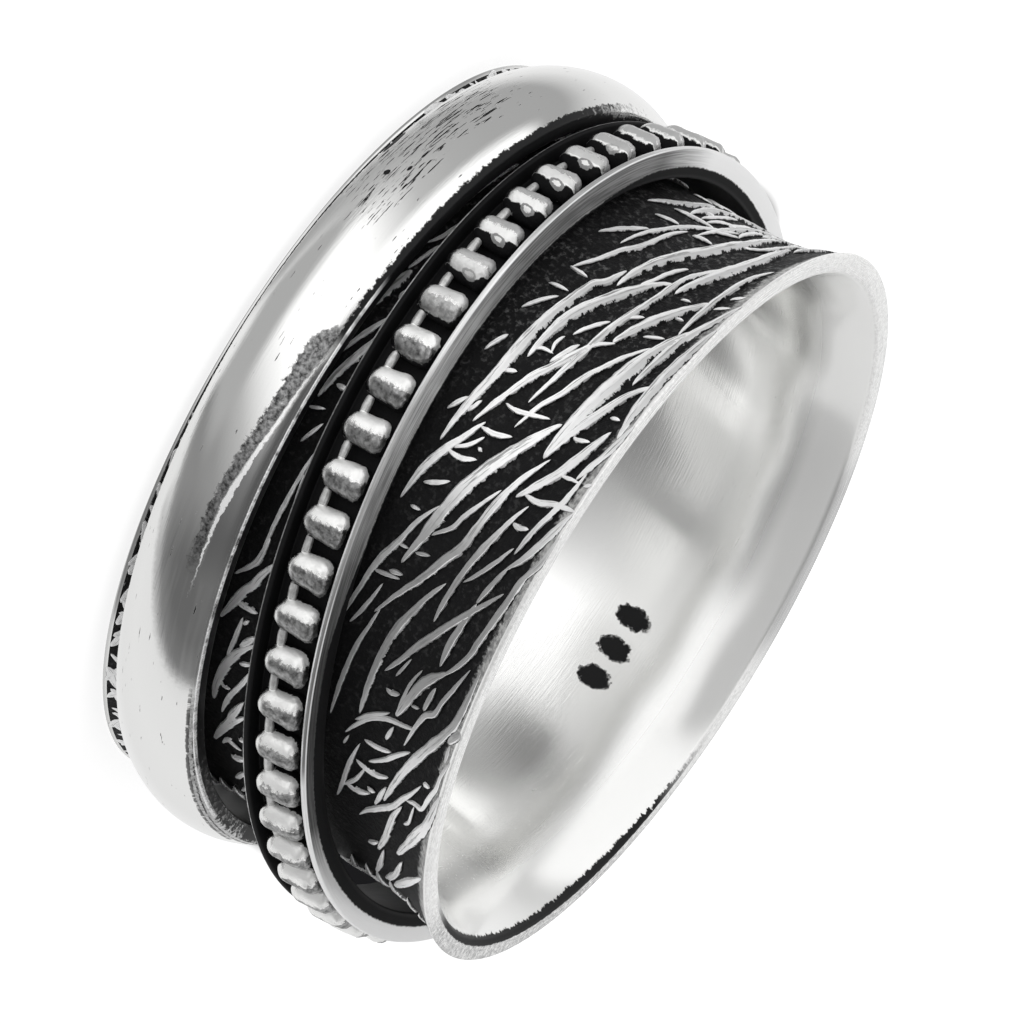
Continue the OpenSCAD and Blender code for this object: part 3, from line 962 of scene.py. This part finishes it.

# %% [markdown]
# ## The plain ring
# A heavy half-round ring, polished and then worn: it carries soft scratches round its crown, a few nicks,
# and a ragged patch of oxide along the edge beside the beads.


# %% Oxide, wear, a painted highlight and painted dark reflection beside the beads
def patch_and_ridge(ring, jag):
    """The ragged oxide patch, the ridge above it: wear and a painted highlight, and painted dark reflection on the
    flank and one stretch.
    """
    tree, z, degrees = ring.tree, ring.z, ring.degrees
    rise = tree.between(degrees, 270.0, 290.0)
    patch_low = 0.6 - rise * 0.3 + tree.below(degrees, 257.0, 264.0) * 0.6
    ridge = 1.0 - rise * 0.4 + tree.below(degrees, 262.0, 272.0) * 0.15
    patch = ring.window(256, 300) * tree.between(z + jag * 0.45, patch_low, patch_low + 0.06)
    patch = patch * tree.below(z + jag * 0.08, ridge - 0.03, ridge + 0.01)
    ridge_top = ridge + 0.03 + rise * tree.below(degrees, 284.0, 298.0) * 0.12
    worn_highlight = tree.from_to(z + jag * 0.2, ridge, ridge + 0.02, ridge_top, ridge_top + 0.02)
    worn_highlight = worn_highlight * ring.window(262, 302)
    from_edge = 1.15 - z
    dull_end = degrees + from_edge * from_edge * 5.4 + jag * 3.0
    dull = tree.between(degrees, 256.0, 264.0) * tree.below(dull_end, 314.0, 318.0)
    flank = dull * tree.between(z + jag * 0.12, ridge + 0.04, ridge + 0.12)
    flank = flank * (1 - tree.between(degrees, 292.0, 308.0) * 0.8)
    shade = dull * tree.between(degrees, 286.0, 298.0) * tree.between(z, -1.0, -0.9)
    shade = shade * (0.55 + tree.between(ring.streaks(3.0, 5.0, 2.0, 20.0), 0.4, 0.6) * 0.16)
    return patch, worn_highlight, flank, shade


# %% Black on the upper edge and the side faces
def edge_black(ring, jag, mottle, speck, height):
    """Where it is black, and where the metal is only speckled."""
    tree, z, degrees = ring.tree, ring.z, ring.degrees
    # ragged on one stretch
    ragged = tree.between(degrees + jag * 40.0, 188.0, 202.0) * tree.below(degrees, 260.0, 266.0)
    ragged = ragged * tree.between(z + jag * 0.25 + speck * 0.2, 1.08, 1.12)
    # a dark line under the bright corner on the next
    under = ring.window(252, 318) * tree.between(z + jag * 0.05, 1.17, 1.19) * tree.below(z, 1.21, 1.225)
    # a broken double line on the last, which sinks a little
    last_part = 1 - ring.window(120, 320)
    sinking = tree.between(degrees, 316.0, 352.0)
    line_z = 1.11 - sinking * 0.12 + jag * 0.08 + speck * 0.06
    line = tree.from_to(z, line_z - 0.03, line_z, line_z + 0.05, line_z + 0.07)
    second = tree.from_to(z, line_z + 0.12, line_z + 0.14, line_z + 0.16, line_z + 0.18)
    broken = tree.between(ring.streaks(60.0, 0.5, 3.0, 10.0), 0.38, 0.46) * 0.85
    line = tree.most(line * broken, second * tree.between(mottle, -0.05, 0.02)) * last_part
    speckled = last_part * tree.between(z + jag * 0.2, line_z + 0.02, line_z + 0.05)
    # the side faces, but for their top and for light specks
    face_z = plain_half * per_mm
    side_top = 0.4 - ring.window(100, 204, 12.0) * 0.14
    light_specks = tree.between(speck + mottle * 0.5, 0.17 - sinking * 0.2, 0.21 - sinking * 0.14) * 0.7
    side = tree.between(abs(z), face_z - 0.05, face_z - 0.02)
    side = side * tree.below(height + speck * 0.8, side_top, side_top + 0.04) * (1 - light_specks)
    return tree.most(ragged, under * 0.6, line, side), speckled


# %% Scratches and nicks
# Each nick has an angle, a height, half its length and half its width in mm, and how ragged it is.
NICKS = [
    (238, -0.57, 0.12, 0.09, 2.0), (232, -1.2, 0.5, 0.07, 1.0), (236, -0.15, 0.1, 0.05, 2.5),
    (20, 0.3, 0.12, 0.08, 2.5), (120, -0.4, 0.2, 0.06, 2.5),
]


def scratches_and_nicks(ring, jag):
    """Where the crown is busy with scratches, the scratches round it, and the nicks."""
    tree = ring.tree
    busy = ring.window(206, 252, 12.0) * tree.from_to(ring.z, -1.25, -1.1, 0.1, 0.5)
    scratches = tree.between(ring.streaks(16.0, 20.0, 2.0, 11.0) + busy * 0.13, 0.7, 0.71)
    nicks = tree.most(*(ring.spot(*place, jag * ragged) for *place, ragged in NICKS))
    return busy, scratches, nicks


# %% Material of the plain ring
def make_polished():
    material, tree = new_material("polished_silver")
    ring = Round(tree, plain_place)
    jag = ring.grain(6.0, 8.0)
    mottle = ring.grain(5.0, 9.0, 5.0)
    speck = ring.grain(9.0, 16.0)
    fine = ring.streaks(14.0, 22.0, 3.0, 12.0)
    height = ring.radius - plain_in * per_mm
    patch, worn_highlight, flank, shade = patch_and_ridge(ring, jag)
    black_edge, speckled = edge_black(ring, jag, mottle, speck, height)
    busy, scratches, nicks = scratches_and_nicks(ring, jag)
    # the upper corner is worn and painted bright as a highlight too
    corner = ring.window(250, 350) * tree.between(ring.z + jag * 0.03, 1.225, 1.24)
    corner = corner * tree.between(height + jag * 0.05, 0.34, 0.37)
    strong = tree.between(ring.streaks(16.0, 0.4, 2.0, 18.0), 0.4, 0.5) * 0.6 + 0.4
    worn_highlight = tree.most(worn_highlight, corner * strong)
    inside = tree.below(height, 0.02, 0.08)
    dark = tree.most(black_edge, inside, nicks, scratches)
    spots = mottle * 0.6 + speck * 0.7
    oxide = tree.most(patch * tree.below(spots, 0.15, 0.18), speckled * 0.8)
    oxide_tone = tree.mix(tree.between(spots, -0.16, 0.16), grey(0.05), grey(0.5))
    # painted dark reflection on the flank and on one stretch
    colour = tree.mix(tree.most(flank * 0.9, shade), silver_colour, grey(0.3))
    colour = tree.mix(oxide, colour, oxide_tone)
    colour = tree.mix(dark, colour, black_colour)
    sockets = {
        "Base Color": tree.mix(worn_highlight, colour, grey(1)),
        "Metallic": (1 - dark) * (1 - worn_highlight * 0.6),
        "Roughness": 0.05 + fine * 0.05 + patch * 0.3 + dark * 0.3,
        "Specular IOR Level": 0.2,
    }
    bump = fine * (0.3 + busy * 1.2) - nicks * 8.0 - scratches * 1.5 + patch * mottle * 4.0
    finish_material(tree, sockets, bump, 0.006 * mm)
    return material


polished = make_polished()

# %% Turn the plain ring
dome_edge = 0.45 * mm
dome_points = 41
edge_round = 0.1 * mm


def make_plain():
    crown = plain_out - plain_in - dome_edge
    arc_r = (plain_half ** 2 + crown ** 2) / (2 * crown)
    reach = math.asin(plain_half / arc_r)
    dome = [
        (plain_out - arc_r + arc_r * math.cos(a), arc_r * math.sin(a))
        for a in np.linspace(-reach, reach, dome_points)
    ]
    inner = [(plain_in, plain_half), (plain_in, -plain_half)]
    corners = dome + inner
    radii = [edge_round] + [0] * (dome_points - 2) + [edge_round] * 3
    outline = rounded(corners, radii)
    mesh = turned("plain_ring", outline, ring_turns, plain_place)
    return finished("plain_ring", mesh, polished)


plain_ring = make_plain()

# %% [markdown]
# ## The beaded ring
# The beaded ring is a strip with a thin rail along each side. Between the rails stands a row of short
# barrels, with a small reel between each two. The strip is turned like the band. The row repeats, so one
# barrel and one reel are modelled, and Geometry Nodes carry copies round the strip, vary them a little and
# roughen the end that the casting left blunt.

# %% Sizes of the strip, the rails and the row
strip_t = 0.36 * mm
strip_floor_r = beaded_in + strip_t
rail_w = 0.17 * mm
rail_h = 0.48 * mm
bead_count = 54
bead_l = 1.26 * mm
bead_d = 0.88 * mm
bead_h = 0.7 * mm
bead_turn = math.radians(1.9)
reel_d = 0.26 * mm
reel_side = 0.28 * mm
reel_up = 0.62
# where a rail begins and ends, in mm from the middle of the strip
rail_in = (beaded_half - rail_w) * per_mm
rail_out = beaded_half * per_mm

# %% [markdown]
# ## The finish of the beaded ring
# Noise alone can't place these marks. Light and shade are painted on the upper rail, lighter and darker
# along the ring as it catches the light, so small charts follow it round. The beads repeat, so a point's way
# to the middle of the nearest bead tells which flank it is on, and black climbs one flank higher than the
# other. One part of each bead is painted as a highlight, and its mottled flank as shade.

# %% Charts of the light and shade painted on the upper rail: degrees round the ring, and a grey
RAIL_CROWN = [(0, .9), (150, .8), (202, .8), (212, .45), (228, .5), (238, .9), (252, .9), (262, .45),
              (285, .38), (300, .26), (316, .2), (319, .85), (360, .9)]
RAIL_SIDE = [(0, .85), (30, .85), (60, .6), (150, .9), (188, .9), (202, .15), (214, .22), (240, .32),
             (258, .55), (275, .48), (290, .2), (300, .1), (328, .14), (336, .75), (344, .85), (360, .85)]
# the line between the crown and the side, a painted highlight
RAIL_LINE = [(0, 0), (196, .1), (206, .9), (228, .9), (240, 0), (284, .1), (294, .9), (330, .9), (340, 0)]
# how far down its side the rubbing went: 0.5 is the foot of the rail
RAIL_END = [(0, .5), (150, .44), (195, .44), (205, .4), (218, .22), (284, .22), (298, .58), (332, .6),
            (345, .55), (360, .5)]


# %% Coordinates and zones of the beaded ring
class BeadedRound(Round):
    """Coordinates on the beaded ring, and a share for each of its zones."""

    def __init__(self, tree):
        super().__init__(tree, beaded_place)
        self.jag = self.grain(7.0, 13.0)
        self.mottle = self.grain(5.0, 14.0, 5.0)
        # mm up from the floor of the trough, and mm round the ring from the middle of the nearest bead
        self.height = self.radius - strip_floor_r * per_mm
        pitch = 360 / bead_count
        off = tree.sum("WRAP", self.degrees - math.degrees(bead_turn), pitch / 2, -pitch / 2)
        self.off = off * self.radius * (math.pi / 180)
        self.outside = tree.between(self.height, -0.04, 0.0)
        self.trough = self.outside * tree.below(abs(self.z), rail_in - 0.03, rail_in - 0.01)
        self.rail = tree.between(abs(self.z), rail_in - 0.02, rail_in)
        self.rail = self.rail * tree.between(self.height, -0.3, -0.2)
        from_reel = abs(self.z + reel_side * per_mm)
        self.reel = tree.between(abs(self.off), 0.42, 0.46) * tree.below(from_reel, 0.15, 0.18)
        # the stretch where the beads are blackest, and the part of it with shells of bare metal
        self.stretch = tree.below(self.degrees, 236.0, 256.0) * tree.between(self.degrees, 150.0, 180.0)
        self.shelled = self.stretch * tree.between(self.degrees, 204.0, 216.0)


# %% Black in the trough and up the beads
def trough_black(ring):
    """The black, and the clean part of each bead above it."""
    tree = ring.tree
    climbs = 0.12 + ring.stretch * 0.14 + ring.shelled * 0.05
    black_to = 0.26 + tree.between(ring.off, 0.05, 0.3) * climbs
    black_to = black_to - tree.between(0 - ring.z, 0.42, 0.58) * 0.14
    black_to = tree.blend(ring.reel, black_to, 0.12)
    ragged = ring.height + ring.jag * (0.25 - ring.shelled * 0.12)
    black = ring.trough * tree.below(ragged, black_to, black_to + 0.03)
    return black, tree.between(ragged, black_to + 0.05, black_to + 0.1)


def shells(ring):
    """A shell of bare metal in the black flank of each bead, and its rim."""
    tree = ring.tree
    along = (ring.z - 0.27) * 4.6
    across = (ring.off - 0.34) * 11.0 - along * 0.3
    from_middle = across * across + along * along + ring.jag * 1.5
    shell = ring.shelled * ring.trough * tree.below(from_middle, 0.9, 1.2)
    shell = shell * tree.between(ring.height, 0.1, 0.2)
    return shell, shell * tree.between(from_middle, 0.3, 0.4)


# %% Black on the strip
def strip_black(ring):
    """Black on the lower rail but for its crest, on the inside, and low on the side faces."""
    tree = ring.tree
    low_rail = tree.below(ring.z, 0.02 - rail_in, 0.1 - rail_in) * ring.outside
    crest = tree.between(ring.height, 0.43, 0.46) * tree.below(ring.z, 0.04 - rail_out, 0.06 - rail_out)
    low_rail = low_rail * (1 - crest * (0.35 + tree.between(ring.jag, -0.1, 0.1) * 0.35))
    inner_r = beaded_in * per_mm
    inside = tree.below(ring.radius, inner_r + 0.02, inner_r + 0.08)
    side_face = tree.between(abs(ring.z), rail_out - 0.03, rail_out - 0.01)
    black_to = ring.round_chart(RAIL_END) - 0.5
    low_side = side_face * tree.below(ring.height + ring.jag * 0.12, black_to, black_to + 0.05)
    return tree.most(low_rail, inside, low_side)


# %% Tone of the rails
def rail_tone(ring):
    """Painted light and shade of the rail: a bright crown and a grey side, with streaks along them and thin bright
    lines painted as highlights.
    """
    tree = ring.tree
    lines = ring.streaks(6.0, 24.0, 2.0, 17.0)
    smooth = tree.between(ring.degrees, 325.0, 342.0) + tree.below(ring.degrees, 186.0, 204.0)
    streak = tree.blend(smooth, tree.between(lines, 0.4, 0.6), 0.6)
    # mm over the crown of the rail from its inner edge, and on down its side
    over = abs(ring.z) - rail_in + rail_h * per_mm - ring.height
    corner = rail_w * per_mm
    crown = tree.below(over + lines * 0.08, corner + 0.03, corner + 0.09)
    crown_tone = ring.round_chart(RAIL_CROWN) * (0.85 + streak * 0.25)
    side_tone = ring.round_chart(RAIL_SIDE) * (0.6 + streak * 0.7)
    line = tree.from_to(over, corner - 0.02, corner, corner + 0.03, corner + 0.06)
    # a thin painted highlight along the inner edge of the rail on one stretch
    inner_line = ring.window(248, 320) * tree.below(over + ring.jag * 0.05, 0.06, 0.08)
    tone = tree.blend(crown, side_tone, crown_tone)
    tone = tree.blend(line * ring.round_chart(RAIL_LINE), tone, 0.95)
    tone = tree.blend(inner_line * (0.4 + streak * 0.6), tone, 0.95)
    return tree.vector(tone, tone, tone)


# %% Material of the beaded ring
def make_beaded_material():
    material, tree = new_material("beaded_silver")
    ring = BeadedRound(tree)
    black, above_black = trough_black(ring)
    shell, shell_rim = shells(ring)
    dark = tree.most(black * (1 - shell), strip_black(ring))
    # each bead has a part painted as a highlight next to a mottled flank with painted shade
    blunt = tree.between(ring.z + ring.jag * 0.3, -0.42, -0.25) * ring.trough
    reel = ring.reel * ring.trough
    part = ring.off + ring.jag * 0.5 + tree.between(ring.degrees, 262.0, 300.0) * 0.14
    flank = tree.between(part, 0.0, 0.05) * blunt * (1 - reel)
    highlit_part = tree.below(part, -0.06, 0.0) * blunt * (1 - reel)
    spots = ring.mottle * 0.6 + ring.jag * 0.7
    mottled = tree.mix(tree.between(spots, -0.16, 0.16), grey(0.04), grey(0.5))
    mottled = tree.mix(tree.between(spots, 0.19, 0.23), mottled, silver_colour)
    top_beads = ring.stretch - tree.between(ring.degrees, 206.0, 232.0) * ring.stretch
    colour = tree.mix(flank * (1 - ring.stretch) * 0.9, silver_colour, mottled)
    colour = tree.mix(reel * 0.55, colour, mottled)
    colour = tree.mix(highlit_part * ring.stretch, colour, grey(0.5))
    colour = tree.mix(flank * top_beads * above_black * 0.8, colour, grey(0.38))
    colour = tree.mix(shell_rim, colour, grey(0.3))
    colour = tree.mix(ring.rail, colour, rail_tone(ring))
    fine = ring.streaks(12.0, 24.0, 3.0, 15.0)
    pale = tree.most(highlit_part, flank * ring.stretch, reel * 0.8, ring.rail)
    sockets = {
        "Base Color": tree.mix(dark, colour, black_colour),
        "Metallic": (1 - dark) * (1 - pale * 0.5),
        "Roughness": 0.12 + fine * 0.1 + dark * 0.35 + flank * 0.2 + pale * 0.15,
        "Specular IOR Level": 0.12,
    }
    bump = (ring.jag * (0.6 + blunt * 1.6) + flank * ring.mottle * 4.0) * (1 - ring.rail) + fine * 0.5
    finish_material(tree, sockets, bump, 0.008 * mm)
    return material


beaded_silver = make_beaded_material()

# %% Turn the strip
corner_round = 0.06 * mm
foot_round = 0.05 * mm


def make_strip():
    rail_r = strip_floor_r + rail_h
    trough_half = beaded_half - rail_w
    corners = [
        (beaded_in, -beaded_half), (rail_r, -beaded_half), (rail_r, -trough_half),
        (strip_floor_r, -trough_half), (strip_floor_r, trough_half), (rail_r, trough_half),
        (rail_r, beaded_half), (beaded_in, beaded_half),
    ]
    radii = [corner_round] * 3 + [foot_round] * 2 + [corner_round] * 3
    mesh = turned("beaded_strip", rounded(corners, radii), ring_turns, beaded_place)
    return finished("beaded_strip", mesh, beaded_silver)


beaded_strip = make_strip()

# %% A round bar
end_rows = 7
side_rows = 8


def bar(length, radius, low_end, high_end, belly, sides):
    """A round bar along Z with a rounding for each end and a belly, closed at its poles."""
    half = length / 2
    outline = []
    for a in np.linspace(0.2, math.pi / 2, end_rows):
        r = radius - low_end + low_end * math.sin(a)
        outline.append((r, -half + low_end - low_end * math.cos(a)))
    outline += [(radius, z) for z in np.linspace(-half + low_end, half - high_end, side_rows + 2)[1:-1]]
    for a in np.linspace(math.pi / 2, 0.1, end_rows):
        r = radius - high_end + high_end * math.sin(a)
        outline.append((r, half - high_end + high_end * math.cos(a)))
    around = [2 * math.pi * k / sides for k in range(sides)]
    points = [(0, 0, -length / 2)]
    for r, z in outline:
        r *= 1 + belly * math.cos(math.pi * z / length)
        points += [(r * math.cos(a), r * math.sin(a), z) for a in around]
    points.append((0, 0, length / 2))
    faces = []
    last = len(points) - 1
    for i in range(sides):
        j = (i + 1) % sides
        faces.append((0, 1 + j, 1 + i))
        faces.append((last, last - sides + i, last - sides + j))
        for row in range(len(outline) - 1):
            base = 1 + row * sides
            faces.append((base + i, base + j, base + sides + j, base + sides + i))
    return points, faces


# %% One barrel and one reel
bead_sides = 44
reel_sides = 16


def make_bead_row():
    """A barrel that stands across the strip, and the reel between it and the next."""
    pitch = 2 * math.pi / bead_count
    points, faces = bar(bead_l, bead_d / 2, bead_d * 0.46, bead_d * 0.3, 0, bead_sides)
    shaped = []
    for x, y, z in points:
        # one end is round and narrow, the end that the casting left blunt is wider, most of all on one flank
        share = min(max((z + 0.3 * mm) / (0.7 * mm), 0), 1)
        wider = 0.96 + share * (0.16 if y > 0 else 0.08)
        shaped.append((x + strip_floor_r + bead_h - bead_d / 2, y * wider, z + share * max(y, 0) * 0.22))
    points = shaped
    reel_r = strip_floor_r + bead_h * reel_up - reel_d / 2
    reel_l = 2 * reel_r * math.sin(pitch / 2)
    reel_points, reel_faces = bar(reel_l, reel_d * 0.17, reel_d * 0.1, reel_d * 0.1, 1.7, reel_sides)
    lie = Matrix.Rotation(pitch / 2, 4, "Z") @ Matrix.Translation((reel_r, 0, -reel_side))
    lie = lie @ Matrix.Rotation(math.pi / 2, 4, "X")
    start = len(points)
    points += [tuple(lie @ Vector(p)) for p in reel_points]
    faces += [tuple(start + i for i in face) for face in reel_faces]
    mesh = bpy.data.meshes.new("bead")
    mesh.from_pydata(points, [], faces)
    return mesh


# %% The tree that carries copies round the strip
def build_bead_row(tree, bead, given):
    count = given["Count"]
    spots = tree.add("GeometryNodeMeshLine", None, {"Count": count, "Offset": (0, 0, 0)})
    number = tree.add("GeometryNodeInputIndex")
    angle = number * (2 * math.pi) / count + given["Turn"]
    copies = tree.add(
        "GeometryNodeInstanceOnPoints",
        None,
        {"Points": spots, "Instance": bead, "Rotation": tree.vector(0.0, 0.0, angle)},
    )
    body = tree.add("GeometryNodeRealizeInstances", None, {"Geometry": copies})
    place = tree.add("GeometryNodeInputPosition")
    normal = tree.add("GeometryNodeInputNormal")
    _, _, z = tree.split(place)
    blunt = tree.between(z, 0.12 * mm, 0.5 * mm)
    teeth = tree.noise(place, 7.5 / mm, 3.0, 0.65, given["Seed"]) - 0.5
    swell = tree.noise(place, 1.5 / mm, 1.0, 0.5, given["Seed"]) - 0.5
    push = (teeth * blunt * 2.4 + teeth * 0.3 + swell * 1.5) * given["Ragged"]
    body = tree.add("GeometryNodeSetPosition", None, {"Geometry": body, "Offset": tree.scaled(normal, push)})
    return tree.add(
        "GeometryNodeTransform",
        None,
        {"Geometry": body, "Translation": given["Centre"], "Rotation": given["Lean"]},
    )


bead_inputs = {
    "Count": bead_count,
    "Turn": bead_turn,
    "Ragged": 0.06 * mm,
    "Seed": 5.0,
    "Centre": beaded_place.translation,
    "Lean": Vector(beaded_place.to_euler()),
}
beads = finished("beads", grown("beads", make_bead_row(), bead_inputs, build_bead_row, beaded_silver))

# %% [markdown]
# ## Floor and light
# The ring stands on a plain pale floor, with a dark shadow painted on it behind the ring. Polished silver has
# hardly any colour of its own, so the light is what makes it look like silver: large white panels with
# soft grey gaps between them. A world that is brighter and darker by direction does the work of those
# panels, and it has no edges that show in the floor.

# %% Floor
floor_half = 0.9
floor_glow = 0.82


def make_floor():
    material, tree = new_material("pale_floor")
    x, y, _ = tree.split(tree.scaled(tree.add("ShaderNodeTexCoord", output="Object"), per_mm))
    across = x / (y * 0.05 + 10.85)
    along = (y - 15.0) / 11.2
    # a painted shadow behind the ring: a dark patch with round corners, in mm
    painted_shadow = tree.below(across ** 6.0 + along ** 6.0, 0.7, 1.0)
    sockets = {
        "Base Color": tree.mix(painted_shadow, grey(0.35), black_colour),
        "Roughness": 0.9,
        "Specular IOR Level": 0.0,
        "Emission Color": tree.mix(painted_shadow, grey(1), black_colour),
        "Emission Strength": floor_glow,
    }
    finish_material(tree, sockets)
    mesh = bpy.data.meshes.new("floor")
    corners = [(-floor_half, -floor_half, 0), (floor_half, -floor_half, 0), (floor_half, floor_half, 0),
               (-floor_half, floor_half, 0)]
    mesh.from_pydata(corners, [], [(0, 1, 2, 3)])
    mesh.materials.append(material)
    floor = bpy.data.objects.new("floor", mesh)
    bpy.context.scene.collection.objects.link(floor)
    floor.visible_glossy = False
    return floor


floor = make_floor()

# %% World
# The brightness of the room by direction. An edge that leans a little, like a propped panel, comes from
# turning the direction with the height. Under the ring the floor is bright, and between the floor and the
# panels in front there is a grey belt.
ROUND_STUDIO = [
    # degrees round from +X, brightness
    (-180, 0.40), (-165, 0.43), (-150, 0.52), (-139, 0.83), (-129, 1.15), (-95, 1.15), (-84, 0.9),
    (-70, 0.5), (-54, 0.3), (-38, 0.25), (-20, 0.26), (-9, 0.36), (-4, 0.72), (5, 0.78), (30, 0.8),
    (60, 0.78), (90, 0.86), (110, 0.9), (130, 0.8), (142, 0.6), (150, 0.38), (180, 0.40),
]
brightest = 2
panel_lean = 0.3


def make_world():
    world = bpy.data.worlds.new("studio")
    world.use_nodes = True
    world.node_tree.nodes.clear()
    tree = Tree(world.node_tree)
    direction = tree.add("ShaderNodeTexCoord", output="Generated")
    x, y, z = tree.split(direction)
    height = tree.sum("ARCSINE", z) * (180 / math.pi)
    turn = tree.sum("ARCTAN2", y, x) * (180 / math.pi)
    leant = tree.sum("WRAP", turn - height * panel_lean, 180.0, -180.0)
    stops = [(degrees / 360 + 0.5, light / brightest) for degrees, light in ROUND_STUDIO]
    panels = tree.chart(leant / 360 + 0.5, stops) * brightest
    # the grey belt and the floor
    in_front = tree.from_to(turn, -175.0, -150.0, -72.0, -52.0)
    light = tree.blend(tree.below(height, -50.0, -32.0) * in_front, panels, 0.42)
    light = tree.blend(tree.below(height, -86.0, -76.0), light, 0.85)
    # darker high in front, and brighter high on the left
    high_front = tree.from_to(height, 22.0, 34.0, 55.0, 75.0)
    light = tree.blend(high_front * tree.from_to(turn, -130.0, -112.0, -25.0, 0.0), light, 0.25)
    high_left = tree.below(turn, -135.0, -118.0) + tree.between(turn, 160.0, 172.0)
    light = tree.blend(high_left * tree.from_to(height, 2.0, 16.0, 60.0, 75.0), light, 1.15)
    light = tree.blend(tree.between(height, 60.0, 80.0), light, 0.9)
    # dull surfaces get a little more light, and the camera sees plain white
    diffuse = tree.add("ShaderNodeLightPath", output="Is Diffuse Ray")
    light = light * (1 + diffuse * 0.3)
    seen = tree.add("ShaderNodeLightPath", output="Is Camera Ray")
    light = tree.blend(seen, light, 1.0)
    shader = tree.add("ShaderNodeBackground", None, {"Color": light, "Strength": 1.0})
    tree.add("ShaderNodeOutputWorld", None, {"Surface": shader})
    bpy.context.scene.world = world


make_world()
bpy.context.scene.view_settings.view_transform = "Standard"

# %% [markdown]
# ## Hand the pieces to the frame
# Each piece rides on the body that it belongs to, so the loose rings turn when their hinges do. The plain
# construction nodes are hidden behind the pieces that stand for them.

# %% Bodies, slots and sizes
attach(band_sheet, "band")
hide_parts("base_band")
for piece in veins:
    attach(piece, "band")
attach(plain_ring, "plain_ring")
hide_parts("plain_spinner")
for piece in (beaded_strip, beads):
    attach(piece, "beaded_ring")
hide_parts("beaded_spinner")
